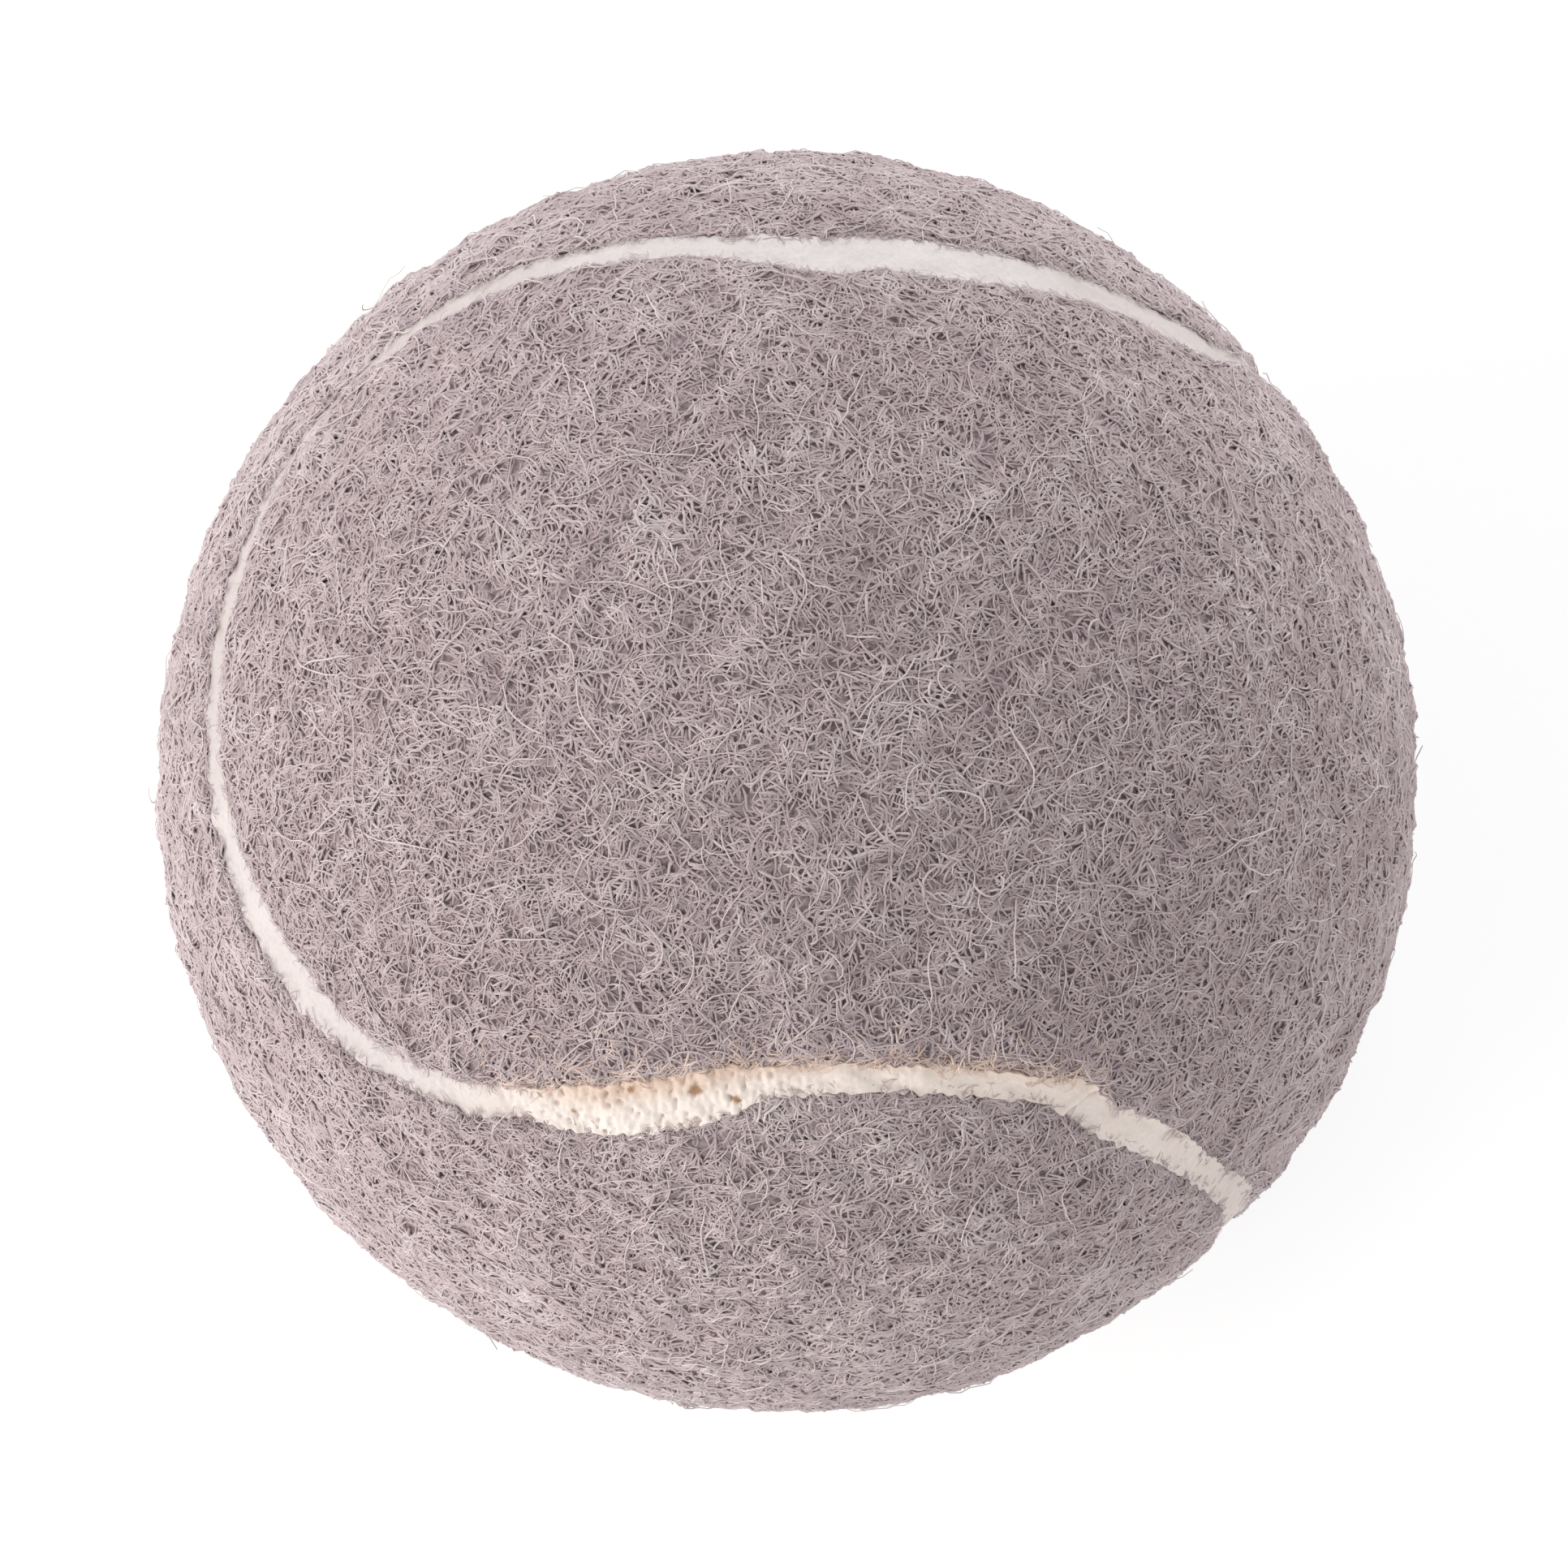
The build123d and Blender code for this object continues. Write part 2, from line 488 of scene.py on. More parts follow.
def cut_panel(directions, faces, is_front):
    """The part of the grid inside a panel's edge, with its outermost corners moved onto the edge."""
    front, back = panel_depths(directions)
    depth = front if is_front else back
    ends = face_sides(faces)
    crossing = ends[depth[ends[:, 0]] * depth[ends[:, 1]] < 0]
    snap = snap_slack * np.abs(depth[crossing]).min(axis=1).max()
    on_edge = np.abs(depth) <= snap
    place, _ = seam_place(directions[on_edge])
    back_edge, front_edge = gap_edges(place)
    cut = directions.copy()
    cut[on_edge] = seam_direction(place, front_edge if is_front else back_edge)
    depth = np.where(on_edge, 0, depth)
    inside = (depth[faces] >= 0).all(axis=1) & (depth[faces] > 0).any(axis=1)
    used, kept = np.unique(faces[inside], return_inverse=True)
    return cut[used], depth[used], kept.reshape(-1, 3)


def panel_layout(directions, is_front, low, high):
    """Place on the texture: along the panel's length and across it, between two heights of the map."""
    long_axis = directions[:, 2] if is_front else directions[:, 1]
    cross_axis = directions[:, 1] if is_front else directions[:, 2]
    along = np.arctan2(long_axis, directions[:, 0] if is_front else -directions[:, 0])
    across = np.arcsin(np.clip(cross_axis, -1, 1))
    u = 0.5 + along / map_length_angle
    v = low + (high - low) * (0.5 + across / map_width_angle)
    return np.stack([u, v], axis=1)


def make_panel(name, grid, is_front, material):
    """One dog-bone panel as a closed shell: its ground, its cut edge and its underside."""
    directions, depth, faces = cut_panel(*grid, is_front)
    count = len(directions)
    outer = directions * ground_radius(directions, depth)[:, None]
    inner = directions * felt_inner_radius
    ends = face_sides(faces)
    key = ends[:, 0] * count + ends[:, 1]
    rim = ends[~np.isin(key, ends[:, 1] * count + ends[:, 0])]
    wall = np.concatenate([
        np.stack([rim[:, 1], rim[:, 0], rim[:, 0] + count], axis=1),
        np.stack([rim[:, 1], rim[:, 0] + count, rim[:, 1] + count], axis=1),
    ])
    shell = np.concatenate([faces, faces[:, ::-1] + count, wall])
    piece = make_object(name, np.concatenate([outer, inner]), shell, material)
    top = panel_layout(directions, is_front, *top_rows)
    under = panel_layout(directions, is_front, *under_rows)
    layout = np.concatenate([top, under])[shell]
    start = len(faces) * 2
    layout[start:, :, 1] = np.where(shell[start:] < count, *wall_rows)
    set_bake_map(piece, layout.reshape(-1, 2))
    return piece


# Fibres of the nap
def tangents(directions, rng):
    """Random unit vectors along the surface."""
    ways = rng.normal(size=directions.shape)
    ways -= (ways * directions).sum(axis=-1, keepdims=True) * directions
    return ways / np.linalg.norm(ways, axis=-1, keepdims=True)


def walk(start, way, length, layer, rng):
    """Curling lines over the ball: unit directions, one row of points for each fibre."""
    count = len(start)
    steps = layer["points"] - 1
    step = (length / steps / ball_radius)[:, None]
    bend = rng.normal(0, layer["turn"], count)
    lines = [start]
    for _ in range(steps):
        ahead = start * np.cos(step) + way * np.sin(step)
        way = way * np.cos(step) - start * np.sin(step)
        turn = (bend + rng.normal(0, layer["turn"], count))[:, None]
        way = way * np.cos(turn) + np.cross(ahead, way) * np.sin(turn)
        start = ahead
        lines.append(start)
    return np.stack(lines, axis=1)


def trim(lines, depth, overhang):
    """Cuts each line where it goes further past the panel's edge than its overhang.

    Gives the new lines, with as many points, and the share of each line that is left.
    """
    least_fall = 1e-6
    steps = lines.shape[1] - 1
    past = depth < -overhang[:, None]
    crosses = past.any(axis=1)
    last = np.where(crosses, np.argmax(past, axis=1), steps)
    before = np.maximum(last - 1, 0)
    rows = np.arange(len(lines))
    fall = np.maximum(depth[rows, before] - depth[rows, last], least_fall)
    part = np.where(crosses, np.clip((depth[rows, before] + overhang) / fall, 0, 1), 1)
    share = (before + part) / steps
    spots_and_shade = np.linspace(0, 1, steps + 1) * share[:, None] * steps
    low = np.minimum(spots_and_shade.astype(int), steps - 1)
    mix = (spots_and_shade - low)[..., None]
    cut = lines[rows[:, None], low] * (1 - mix) + lines[rows[:, None], low + 1] * mix
    return cut / np.linalg.norm(cut, axis=-1, keepdims=True), share


def fibre_starts(count, rng):
    """Unit directions spread evenly over the felt, with a few more along the panels' edges."""
    golden_angle = math.pi * (3 - math.sqrt(5))
    number = np.arange(count)
    height = 1 - (2 * number + 1) / count
    turn = golden_angle * number
    wide = np.sqrt(1 - height**2)
    spread = np.stack([wide * np.cos(turn), wide * np.sin(turn), height], axis=1)
    spread += rng.normal(0, start_jitter * math.sqrt(4 * math.pi / count), (count, 3))
    spread /= np.linalg.norm(spread, axis=1)[:, None]
    more = int(count * edge_share)
    place = rng.uniform(0, seam_degrees, more)
    back, front = gap_edges(place)
    inward = rng.uniform(0, edge_reach, more)
    at_back = rng.uniform(size=more) < 0.5
    beside = seam_direction(place, np.where(at_back, back - inward, front + inward))
    return np.concatenate([spread, beside])


def fringe_starts(count, rng):
    """Unit directions just inside the panels' edges, and unit vectors from there towards the seam."""
    small_step = 0.1
    place = rng.uniform(0, seam_degrees, count)
    back, front = gap_edges(place)
    at_front = rng.uniform(size=count) < 0.5
    inward = rng.uniform(0, fringe_root, count)
    offset = np.where(at_front, front + inward, back - inward)
    start = seam_direction(place, offset)
    way = seam_direction(place, np.where(at_front, offset - small_step, offset + small_step)) - start
    way -= (way * start).sum(axis=1, keepdims=True) * start
    way /= np.linalg.norm(way, axis=1, keepdims=True)
    turn = rng.normal(0, fringe_fan, count)[:, None]
    return start, way * np.cos(turn) + np.cross(start, way) * np.sin(turn)


def own_depths(lines, is_front):
    """How far inside its own panel's edge each point of each line lies."""
    front, back = (side.reshape(lines.shape[:-1]) for side in panel_depths(lines.reshape(-1, 3)))
    return np.where(is_front[:, None], front, back)


def lay_fibres(layer, rng):
    """Lines of a layer's fibres over the ball, as unit directions, and facts of each fibre.

    These are its length, whether it was cut short, whether it is on the front panel, and its clumps.
    """
    count = int(layer["count"] * quick_share)
    if layer["fringe"]:
        start, way = fringe_starts(count, rng)
    else:
        start = fibre_starts(count, rng)
        way = tangents(start, rng)
    front, back = panel_depths(start)
    on_felt = np.maximum(front, back) > 0
    start = start[on_felt]
    way = way[on_felt]
    is_front = (front > back)[on_felt]
    length = rng.uniform(*layer["length"], len(start))
    lines = walk(start, way, length, layer, rng)
    overhang = np.minimum(rng.exponential(layer["overhang"], len(start)), longest_overhang)
    lines, share = trim(lines, own_depths(lines, is_front), overhang)
    length = share * length
    clump = ripple(lines, clump_waves)
    hollow = layer["parts"] * smooth_step(-clump.mean(axis=1), pit_start, pit_end)
    kept = (length > shortest_fibre) & (rng.uniform(size=len(lines)) > hollow)
    return lines[kept], length[kept], (share < whole_share)[kept], is_front[kept], clump[kept]


def fibre_radius(layer, lines, length, was_cut, clump, depth, rng):
    """Distance of each point of each fibre from the centre of the ball."""
    count = len(lines)
    along = np.linspace(0, 1, layer["points"])
    level = rng.uniform(*layer["height"], count)[:, None]
    arch = rng.uniform(*layer["arch"], count)[:, None] * np.sin(math.pi * along)
    waves = (length / rng.uniform(*wave_length, count))[:, None]
    dip = layer["dip"] * np.cos(2 * math.pi * (waves * along + rng.uniform(size=count)[:, None]))
    loose = (rng.uniform(size=count) < layer["loose"])[:, None]
    free_end = (loose | was_cut[:, None]) & (along > 0.5)
    dive = np.where(free_end, 0, layer["dive"] * np.abs(2 * along - 1) ** dive_power)
    lift = np.where(loose, rng.uniform(*loose_lift, count)[:, None] * along**lift_power, 0)
    radius = ground_radius(lines, depth) + level + arch + dip - dive + lift + clump_height * clump
    return np.where(depth < edge_strip, np.maximum(radius, seam_top_radius + fringe_clearance), radius)


def fibre_stains(lines, is_front, depth, rng):
    """1 for fibres of the front panel that the warm rubber has stained, and 0 for the rest."""
    middle = lines.shape[1] // 2
    place, _ = seam_place(lines[:, middle])
    likely = stretch(place, *stain_stretch)
    likely *= is_front * np.exp(-np.maximum(depth[:, middle], 0) / stain_reach)
    return (rng.uniform(size=len(lines)) < likely).astype(float)


def grow_fibres(layer, rng):
    """Centre lines of a layer's fibres in millimetres, and each one's width, tone, stain and panel."""
    lines, length, was_cut, is_front, clump = lay_fibres(layer, rng)
    depth = own_depths(lines, is_front)
    radius = fibre_radius(layer, lines, length, was_cut, clump, depth, rng)
    # Fibres low in the clumps are darkened and high ones paled: painted shade and light that follow the
    # clumps' height
    tone = rng.normal(*layer["tone"], len(lines)) + clump_shade_tone * clump.mean(axis=1)
    tone = np.clip(tone + mottle_tone * ripple(lines[:, 0], mottle_waves), 0, 1)
    width = rng.uniform(*layer["width"], len(lines))
    stain = fibre_stains(lines, is_front, depth, rng)
    return lines * radius[..., None], width, tone, stain, is_front


def tube_faces(points):
    """Triangles of one closed three-sided tube with so many rings."""
    faces = []
    for ring in range(points - 1):
        for side in range(fibre_sides):
            a = ring * fibre_sides + side
            b = ring * fibre_sides + (side + 1) % fibre_sides
            faces.append((a, b, b + fibre_sides))
            faces.append((a, b + fibre_sides, a + fibre_sides))
    tip = (points - 1) * fibre_sides
    faces.append((2, 1, 0))
    faces.append((tip, tip + 1, tip + 2))
    return np.array(faces)


def make_fibres(name, lines, width, tone, stain, material):
    """A piece of many fibres: closed tubes that taper to both ends."""
    count, points = lines.shape[:2]
    normal = lines / np.linalg.norm(lines, axis=-1, keepdims=True)
    way = np.gradient(lines, axis=1)
    way /= np.linalg.norm(way, axis=-1, keepdims=True)
    across = np.cross(way, normal)
    across /= np.linalg.norm(across, axis=-1, keepdims=True)
    rise = np.cross(across, way)
    along = np.linspace(0, 1, points)
    taper = 1 - fibre_taper * np.abs(2 * along - 1) ** taper_power
    half = (width[:, None] / 2 * taper)[..., None]
    rings = []
    for side in range(fibre_sides):
        angle = 2 * math.pi * side / fibre_sides + math.pi / 2
        rings.append(lines + half * (math.cos(angle) * across + fibre_flatness * math.sin(angle) * rise))
    corners = points * fibre_sides
    faces = (np.arange(count)[:, None, None] * corners + tube_faces(points)).reshape(-1, 3)
    piece = make_object(name, np.stack(rings, axis=2).reshape(-1, 3), faces, material)
    set_attribute(piece, "tone", np.repeat(tone, corners))
    set_attribute(piece, "stain", np.repeat(stain, corners))
    ring = np.tile(np.arange(corners) // fibre_sides, count)
    side = np.tile(np.arange(corners) % fibre_sides, count)
    u = np.repeat(map_margin + map_tones * tone, corners) + map_margin * side / fibre_sides
    v = map_margin + map_length * ring / (points - 1) + map_stain_shift * np.repeat(stain, corners)
    set_bake_map(piece, np.stack([u, v], axis=1)[faces].reshape(-1, 2))
    return piece


# Seam rubber
def band_relief(directions, places, across, past_lap, coarse, grain, pits):
    """Height of the rubber's surface over its mean level."""
    height = band_wave_height * ripple(directions, band_waves)
    height += (grain_height + coarse_grain_height * coarse) * grain
    height -= pit_depth * pits
    height += lip_height * np.abs(across) ** lip_power - band_sink
    height += raised_height * stretch(places, *raised_stretch)
    height -= lap_step * stretch(past_lap, *lap_step_stretch)
    height += lap_ridge_height * bell(past_lap, lap_ridge_place, lap_ridge_spread)
    return height


def band_stains(places, offset, across, past_lap, coarse, grain, pits):
    """How warm, browned and greyed the rubber is, with its brown specks, by the names that its material
    reads; some of the grey and the dark of the lap's crease are painted shade.
    """
    grey = lap_grey * smooth_step(past_lap, *lap_grey_limits)
    grey *= smooth_step(-places, -warm_stretch[3], -warm_stretch[2])
    for limits, strength in grey_stretches:
        grey += strength * stretch(places, *limits)
    rind_low = -coarse_rind_breadth * coarse
    rind = smooth_step(places, *rind_start) * smooth_step(across, rind_low, 1 + rind_low)
    rind *= rind_strength + coarse_rind_strength * coarse
    rind = np.maximum(rind, faint_rind_strength * smooth_step(places, *faint_rind_start))
    rind *= smooth_step(-past_lap, *rind_end)
    # Pits of the coarse part are stained brown, and the crease past the lap's ridge is darkened with painted
    # shade
    spots_and_shade = pit_stain * pits + lap_crease_shade * bell(past_lap, lap_crease_place, lap_crease_spread)
    for spot_place, spot_offset, spot_radius in brown_spots:
        along = np.radians(places - spot_place) * math.sin(lobe_spread) * ball_radius
        apart = (along**2 + (offset - spot_offset) ** 2) / spot_radius**2
        spots_and_shade += spot_stain * np.exp(-((apart * (1 + spot_raggedness * np.tanh(grain))) ** 2))
    return {
        "warm": stretch(places, *warm_stretch),
        "rind": rind,
        "grey": grey,
        "spots_and_shade": np.minimum(spots_and_shade, 1),
    }


def make_band(name, material):
    """The strip of rubber in the gap, from the core up to just below the nap."""
    place = np.arange(band_stations) * seam_degrees / band_stations
    back, front = gap_edges(place)
    across = np.linspace(-1, 1, band_columns)
    middle = (back + front)[:, None] / 2
    half = (front - back)[:, None] / 2 - band_clearance
    offset = middle + half * across
    places = np.repeat(place[:, None], band_columns, axis=1)
    past_lap = places - lap_place - lap_slant * across
    directions = seam_direction(places, offset)
    coarse = np.exp(-0.5 * ((places - coarse_middle) / coarse_half_length) ** 4)
    grain = ripple(directions, grain_waves)
    pits = smooth_step(-grain, *pit_limits) * coarse
    height = band_relief(directions, places, across, past_lap, coarse, grain, pits)
    top = directions * (seam_top_radius + height)[..., None]
    foot = directions[:, [-1, 0]] * core_radius
    section = np.concatenate([top, foot], axis=1)
    ring = section.shape[1]
    station = np.arange(band_stations)[:, None] * ring
    following = np.roll(station, -1, axis=0)
    column = np.arange(ring)[None, :]
    beside = (column + 1) % ring
    faces = np.stack([station + column, following + column, following + beside, station + beside], axis=-1)
    piece = make_object(name, section.reshape(-1, 3), faces.reshape(-1, 4), material)
    clean_foot = np.zeros(foot.shape[:2])
    stains = band_stains(places, offset, across, past_lap, coarse, grain, pits)
    for word, values in stains.items():
        set_attribute(piece, word, np.concatenate([values, clean_foot], axis=1).ravel())
    return piece


# Materials
def new_material(name):
    """Node material with its nodes, its links and its Principled shader."""
    material = bpy.data.materials.new(name)
    material.use_nodes = True
    nodes = material.node_tree.nodes
    return material, nodes, material.node_tree.links, nodes["Principled BSDF"]


def add_attribute(nodes, name):
    """Number that the mesh holds at each vertex."""
    attribute = nodes.new("ShaderNodeAttribute")
    attribute.attribute_name = name
    return attribute.outputs["Fac"]


def add_noise(nodes, links, scale, detail):
    """Noise in the object's own coordinates."""
    coordinates = nodes.new("ShaderNodeTexCoord")
    noise = nodes.new("ShaderNodeTexNoise")
    noise.inputs["Scale"].default_value = scale
    noise.inputs["Detail"].default_value = detail
    links.new(coordinates.outputs["Object"], noise.inputs["Vector"])
    return noise.outputs["Fac"]


def add_math(nodes, links, operation, first, second):
    """Number worked out from two sockets."""
    math_node = nodes.new("ShaderNodeMath")
    math_node.operation = operation
    links.new(first, math_node.inputs[0])
    links.new(second, math_node.inputs[1])
    return math_node.outputs[0]


def add_ramp(nodes, links, amount, stops):
    """Colour that follows an amount, from pairs of a place and a colour."""
    ramp = nodes.new("ShaderNodeValToRGB")
    elements = ramp.color_ramp.elements
    while len(elements) < len(stops):
        elements.new(0.5)
    for element, (place, colour) in zip(elements, stops):
        element.position = place
        element.color = (*colour, 1)
    links.new(amount, ramp.inputs["Fac"])
    return ramp.outputs["Color"]


def add_mix(nodes, links, amount, first, second):
    """Colour that goes from the first to the second with an amount; each is a socket or a colour."""
    mix = nodes.new("ShaderNodeMix")
    mix.data_type = "RGBA"
    links.new(amount, mix.inputs["Factor"])
    for socket, colour in ((mix.inputs[6], first), (mix.inputs[7], second)):
        if isinstance(colour, tuple):
            socket.default_value = (*colour, 1)
        else:
            links.new(colour, socket)
    return mix.outputs[2]


def add_bump(nodes, links, shader, height, strength, distance):
    """Fine relief on the shader, from a height socket and a depth in millimetres."""
    bump = nodes.new("ShaderNodeBump")
    bump.inputs["Strength"].default_value = strength
    bump.inputs["Distance"].default_value = distance * MM
    links.new(height, bump.inputs["Height"])
    links.new(bump.outputs["Normal"], shader.inputs["Normal"])


def fibre_material():
    """Grey wool of various tones, with painted shade in the troughs of its clumps, tan where it is stained.
    """
    material, nodes, links, shader = new_material("felt_fibre")
    tone = add_attribute(nodes, "tone")
    wool = add_ramp(nodes, links, tone, [
        (0.0, (0.43, 0.34, 0.355)),
        (0.5, (0.60, 0.495, 0.508)),
        (1.0, (0.82, 0.735, 0.735)),
    ])
    tan = add_ramp(nodes, links, tone, [(0.0, (0.60, 0.45, 0.38)), (1.0, (0.94, 0.77, 0.68))])
    links.new(add_mix(nodes, links, add_attribute(nodes, "stain"), wool, tan), shader.inputs["Base Color"])
    shader.inputs["Roughness"].default_value = 0.7
    shader.inputs["Specular IOR Level"].default_value = 0.3
    return material


def mottled_material(name, stops, scale, bump_strength, roughness):
    """Felt, rubber or cement with fine mottling between the colours of the stops, and an uneven surface."""
    material, nodes, links, shader = new_material(name)
    noise = add_noise(nodes, links, scale, detail=4)
    links.new(add_ramp(nodes, links, noise, stops), shader.inputs["Base Color"])
    add_bump(nodes, links, shader, noise, bump_strength, distance=0.1)
    shader.inputs["Roughness"].default_value = roughness
    return material


def seam_material():
    """Off-white rubber with a fine grain, warmer, greyer, browned and with brown specks in places; greyed
    with painted shade on the side towards the key lamp and darkened with painted shade in the lap's crease.
    """
    grey_rubber = (0.50, 0.42, 0.40)
    brown_rubber = (0.70, 0.49, 0.36)
    spot_and_crease_brown = (0.38, 0.22, 0.12)
    material, nodes, links, shader = new_material("seam_rubber")
    cloud = add_noise(nodes, links, scale=350, detail=5)
    grain = add_noise(nodes, links, scale=4500, detail=3)
    mean = nodes.new("ShaderNodeMath")
    mean.operation = "MULTIPLY"
    mean.inputs[1].default_value = 0.5
    links.new(add_math(nodes, links, "ADD", cloud, grain), mean.inputs[0])
    mottle = mean.outputs[0]
    plain = add_ramp(nodes, links, mottle, [(0.3, (0.655, 0.597, 0.583)), (0.65, (0.78, 0.722, 0.708))])
    cream = add_ramp(nodes, links, mottle, [(0.3, (0.885, 0.765, 0.69)), (0.65, (0.965, 0.878, 0.822))])
    rubber = add_mix(nodes, links, add_attribute(nodes, "warm"), plain, cream)
    # Greyer past the lap, and greyed with painted shade on the side towards the key lamp
    greyed_and_shaded = add_mix(nodes, links, add_attribute(nodes, "grey"), rubber, grey_rubber)
    patchy = add_math(nodes, links, "MULTIPLY", add_attribute(nodes, "rind"), mottle)
    browned = add_mix(nodes, links, patchy, greyed_and_shaded, brown_rubber)
    # Brown spots, stained pits, and the painted shade of the lap's crease
    spotted_and_shaded = add_mix(nodes, links, add_attribute(nodes, "spots_and_shade"), browned, spot_and_crease_brown)
    links.new(spotted_and_shaded, shader.inputs["Base Color"])
    add_bump(nodes, links, shader, mottle, strength=0.8, distance=0.08)
    shader.inputs["Roughness"].default_value = 0.65
    shader.inputs["Specular IOR Level"].default_value = 0.35
    return material


# The pieces
# The felt's ground is coloured as wool in deep shade: its dark colours, with darker mottled pits, are
# painted shade of the nap above it
ground_shade_finish = mottled_material(
    "felt_ground_shade",
    stops=[(0.35, (0.12, 0.09, 0.095)), (0.62, (0.40, 0.315, 0.33))],
    scale=2400,
    bump_strength=0.6,
    roughness=0.9,
)
fibre_finish = fibre_material()
grid = ball_grid()
panels = {}
fibres = {}
for word, is_front in panel_sides.items():
    panels[word] = make_panel(f"felt_{word}", grid, is_front, ground_shade_finish)
    fibres[word] = []
fibre_rng = np.random.default_rng(seed=47)
for layer in nap_layers:
    lines, width, tone, stain, in_front = grow_fibres(layer, fibre_rng)
    fibres_in_piece = faces_in_piece // len(tube_faces(layer["points"]))
    for word, is_front in panel_sides.items():
        chosen = np.flatnonzero(in_front == is_front)
        for first in range(0, len(chosen), fibres_in_piece):
            part = chosen[first:first + fibres_in_piece]
            name = f"nap_{word}_{len(fibres[word]) + 1}"
            piece = make_fibres(name, lines[part], width[part], tone[part], stain[part], fibre_finish)
            fibres[word].append(piece)
band = make_band("seam_band", seam_material())

# What the pieces ride on and stand for
for word in panel_sides:
    for piece in (panels[word], *fibres[word]):
        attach(piece, "root")
    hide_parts(f"felt_panel_{word}")
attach(band, "root")
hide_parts("seam_rubber")

# Rubber and cement inside the ball, which keep their shape
core_finish = mottled_material(
    "core_rubber",
    stops=[(0.3, (0.045, 0.04, 0.038)), (0.7, (0.085, 0.078, 0.07))],
    scale=260,
    bump_strength=0.3,
    roughness=0.7,
)
cement_finish = mottled_material(
    "rubber_cement",
    stops=[(0.3, (0.46, 0.35, 0.21)), (0.7, (0.62, 0.50, 0.33))],
    scale=420,
    bump_strength=0.3,
    roughness=0.7,
)
inner_finishes = {
    "core_half_upper": core_finish,
    "core_half_lower": core_finish,
    "core_joint_cement": cement_finish,
    "panel_cement_front": cement_finish,
    "panel_cement_back": cement_finish,
}
for node, finish in inner_finishes.items():
    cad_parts[node].data.materials.clear()
    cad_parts[node].data.materials.append(finish)

# Camera, at the photograph's viewing angle, with the ball as large and where it is in the photograph
picture_size = 1932
ball_centre_pixel = (969.5, 963.4)
ball_radius_pixels = 776
camera_radii = 40
azimuth = math.radians(50.04)
elevation = math.radians(68.08)
roll = math.radians(-50.34)
camera_distance = camera_radii * ball_radius * MM
view_back = Vector((
    math.sin(azimuth) * math.cos(elevation),
    -math.cos(azimuth) * math.cos(elevation),
    math.sin(elevation),
))
camera = bpy.data.objects.new("camera", bpy.data.cameras.new("camera"))
bpy.context.scene.collection.objects.link(camera)
bpy.context.scene.camera = camera
camera.matrix_world = (
    Matrix.Translation(view_back * camera_distance)
    @ (-view_back).to_track_quat("-Z", "Y").to_matrix().to_4x4()
    @ Matrix.Rotation(roll, 4, "Z")
)
focal_pixels = ball_radius_pixels * math.sqrt((camera_distance / (ball_radius * MM)) ** 2 - 1)
camera.data.sensor_width = 36
camera.data.lens = focal_pixels / picture_size * camera.data.sensor_width
camera.data.shift_x = (picture_size / 2 - ball_centre_pixel[0]) / picture_size
camera.data.shift_y = (ball_centre_pixel[1] - picture_size / 2) / picture_size
camera.data.clip_end = 100
view_right = camera.matrix_world.to_3x3() @ Vector((1, 0, 0))
view_up = camera.matrix_world.to_3x3() @ Vector((0, 1, 0))


# Floor, world and lamps
def seen_directly(nodes, links):
    """1 for rays that show a surface as background: from the camera, a reflection or a clear body."""
    path = nodes.new("ShaderNodeLightPath")
    total = path.outputs["Is Camera Ray"]
    for name in ("Is Glossy Ray", "Is Transmission Ray"):
        total = add_math(nodes, links, "MAXIMUM", total, path.outputs[name])
    return total


def make_floor():
    """Pale disc under the ball, which shows white with the ball's soft shadow."""
    disc = bmesh.new()
    bmesh.ops.create_circle(disc, cap_ends=True, segments=96, radius=3)
    mesh = bpy.data.meshes.new("floor")
    disc.to_mesh(mesh)
    disc.free()
    floor = bpy.data.objects.new("floor", mesh)
    floor.location.z = cad_box[0].z
    bpy.context.scene.collection.objects.link(floor)
    material, nodes, links, shader = new_material("floor")
    output = nodes["Material Output"]
    nodes.remove(shader)
    bounce = nodes.new("ShaderNodeBsdfDiffuse")
    bounce.inputs["Color"].default_value = (0.85, 0.85, 0.85, 1)
    shade = nodes.new("ShaderNodeBsdfDiffuse")
    shade.inputs["Color"].default_value = (0.32, 0.32, 0.32, 1)
    glow = nodes.new("ShaderNodeEmission")
    glow.inputs["Strength"].default_value = 0.78
    white = nodes.new("ShaderNodeAddShader")
    links.new(shade.outputs[0], white.inputs[0])
    links.new(glow.outputs[0], white.inputs[1])
    mix = nodes.new("ShaderNodeMixShader")
    links.new(seen_directly(nodes, links), mix.inputs[0])
    links.new(bounce.outputs[0], mix.inputs[1])
    links.new(white.outputs[0], mix.inputs[2])
    links.new(mix.outputs[0], output.inputs["Surface"])
    mesh.materials.append(material)


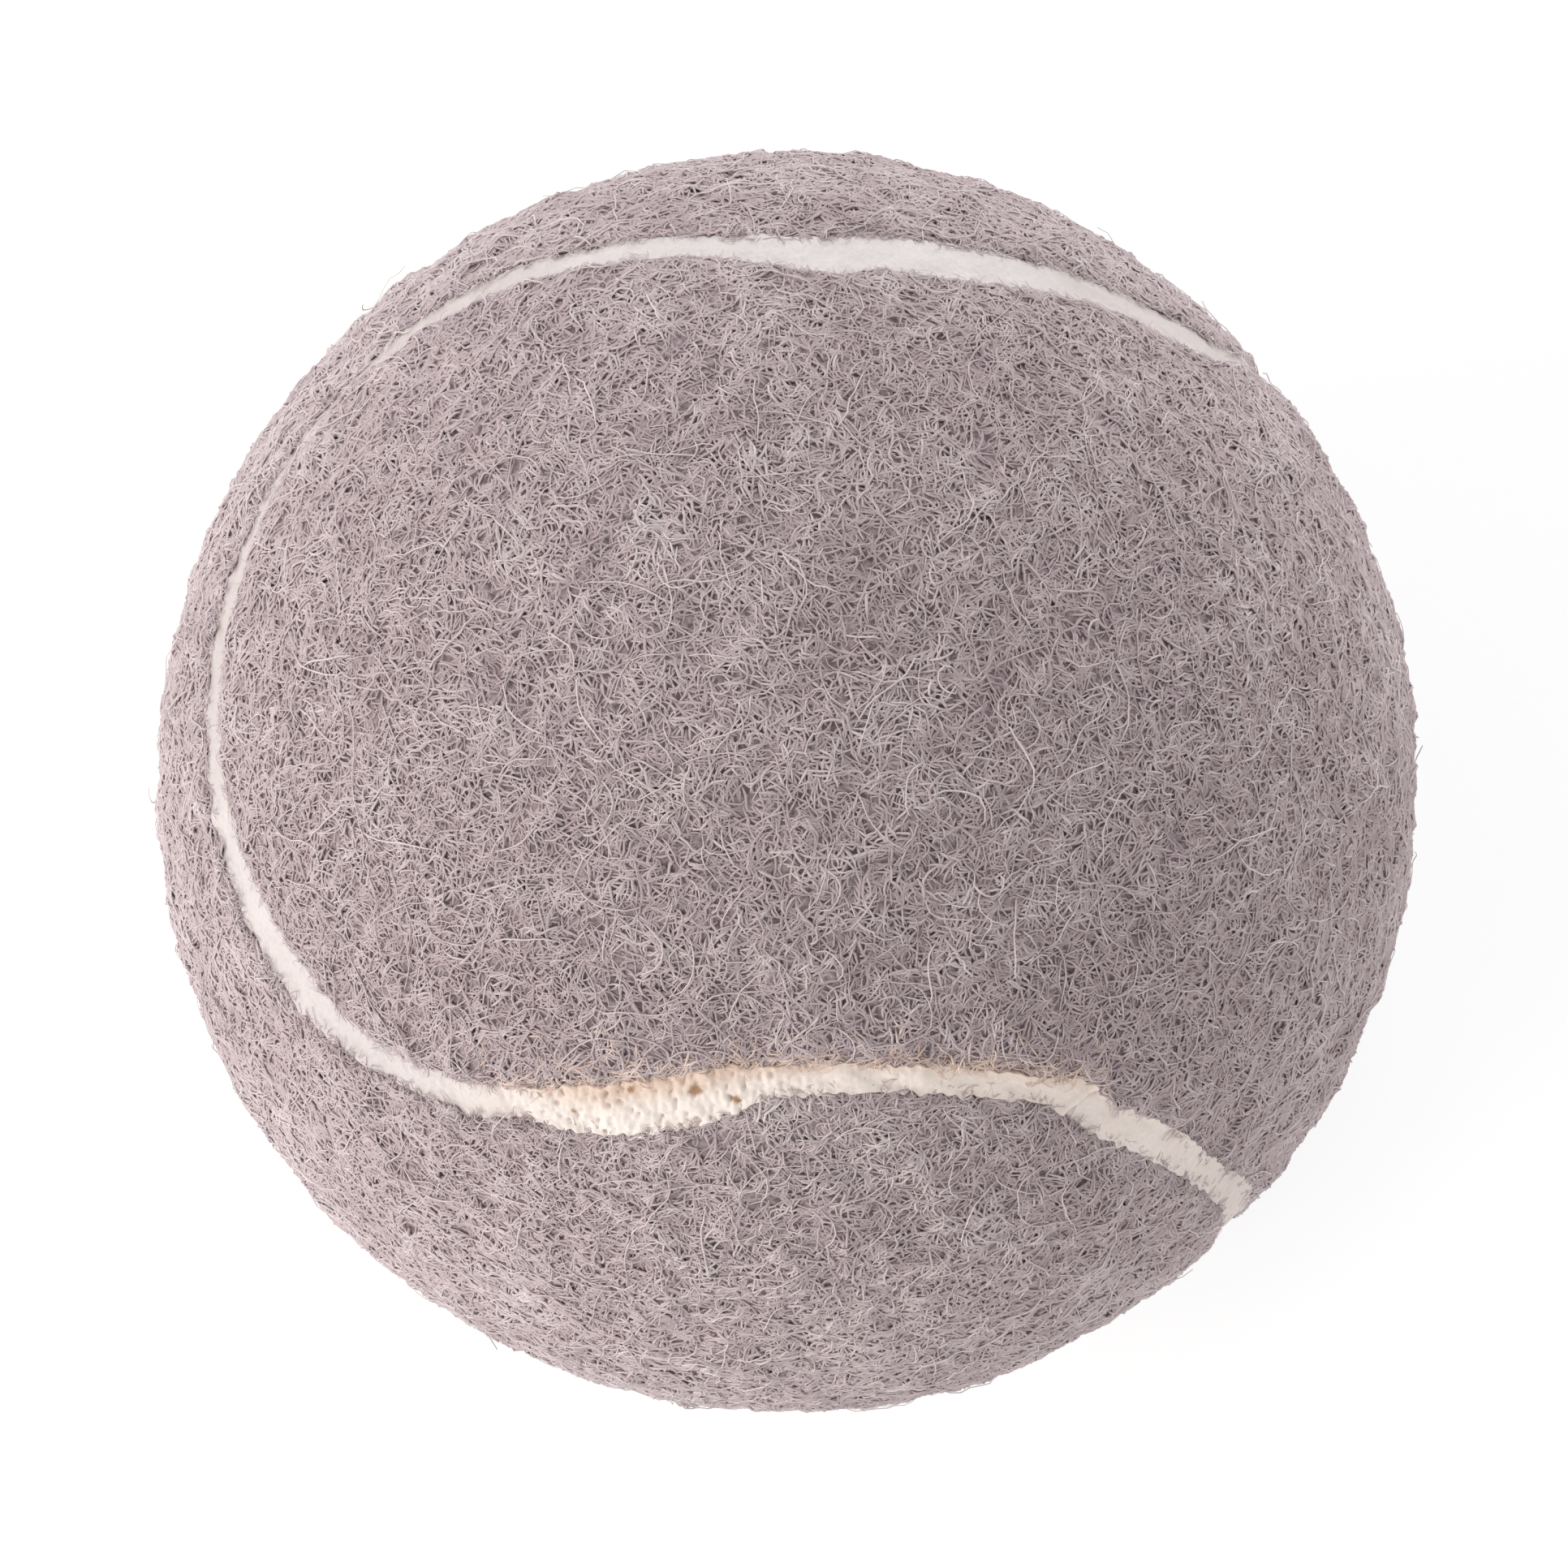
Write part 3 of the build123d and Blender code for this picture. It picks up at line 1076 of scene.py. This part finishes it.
def make_world(horizon, zenith):
    """Soft light from all round, brighter at the sides than above, shown as white."""
    world = bpy.data.worlds.new("studio")
    bpy.context.scene.world = world
    world.use_nodes = True
    nodes = world.node_tree.nodes
    links = world.node_tree.links
    way = nodes.new("ShaderNodeTexCoord")
    split = nodes.new("ShaderNodeSeparateXYZ")
    level = nodes.new("ShaderNodeMapRange")
    level.inputs["From Min"].default_value = 0
    level.inputs["From Max"].default_value = 1
    level.inputs["To Min"].default_value = horizon
    level.inputs["To Max"].default_value = zenith
    soft = nodes["Background"]
    soft.inputs["Color"].default_value = (1, 1, 1, 1)
    white = nodes.new("ShaderNodeBackground")
    white.inputs["Color"].default_value = (1, 1, 1, 1)
    mix = nodes.new("ShaderNodeMixShader")
    links.new(way.outputs["Generated"], split.inputs[0])
    links.new(split.outputs["Z"], level.inputs["Value"])
    links.new(level.outputs["Result"], soft.inputs["Strength"])
    links.new(seen_directly(nodes, links), mix.inputs[0])
    links.new(soft.outputs[0], mix.inputs[1])
    links.new(white.outputs[0], mix.inputs[2])
    links.new(mix.outputs[0], nodes["World Output"].inputs["Surface"])


def add_softbox(name, way, distance, size, power, colour):
    """Square lamp that faces the ball from a direction; its distance and size are in metres."""
    lamp = bpy.data.lights.new(name, "AREA")
    lamp.shape = "SQUARE"
    lamp.size = size
    lamp.energy = power
    lamp.color = colour
    softbox = bpy.data.objects.new(name, lamp)
    softbox.location = way.normalized() * distance
    softbox.rotation_mode = "QUATERNION"
    softbox.rotation_quaternion = (-way).to_track_quat("-Z", "Y")
    softbox.visible_camera = False
    bpy.context.scene.collection.objects.link(softbox)


make_floor()
make_world(horizon=1.21, zenith=0.19)
add_softbox(
    "key",
    way=-0.89 * view_right - 0.21 * view_up + 0.45 * view_back,
    distance=0.8,
    size=0.7,
    power=4.8,
    colour=(1.0, 0.975, 0.945),
)
add_softbox(
    "rim",
    way=0.95 * view_up + 0.1 * view_right + 0.3 * view_back,
    distance=0.8,
    size=0.5,
    power=2.55,
    colour=(0.97, 0.98, 1.0),
)

bpy.context.scene.view_settings.view_transform = "Standard"
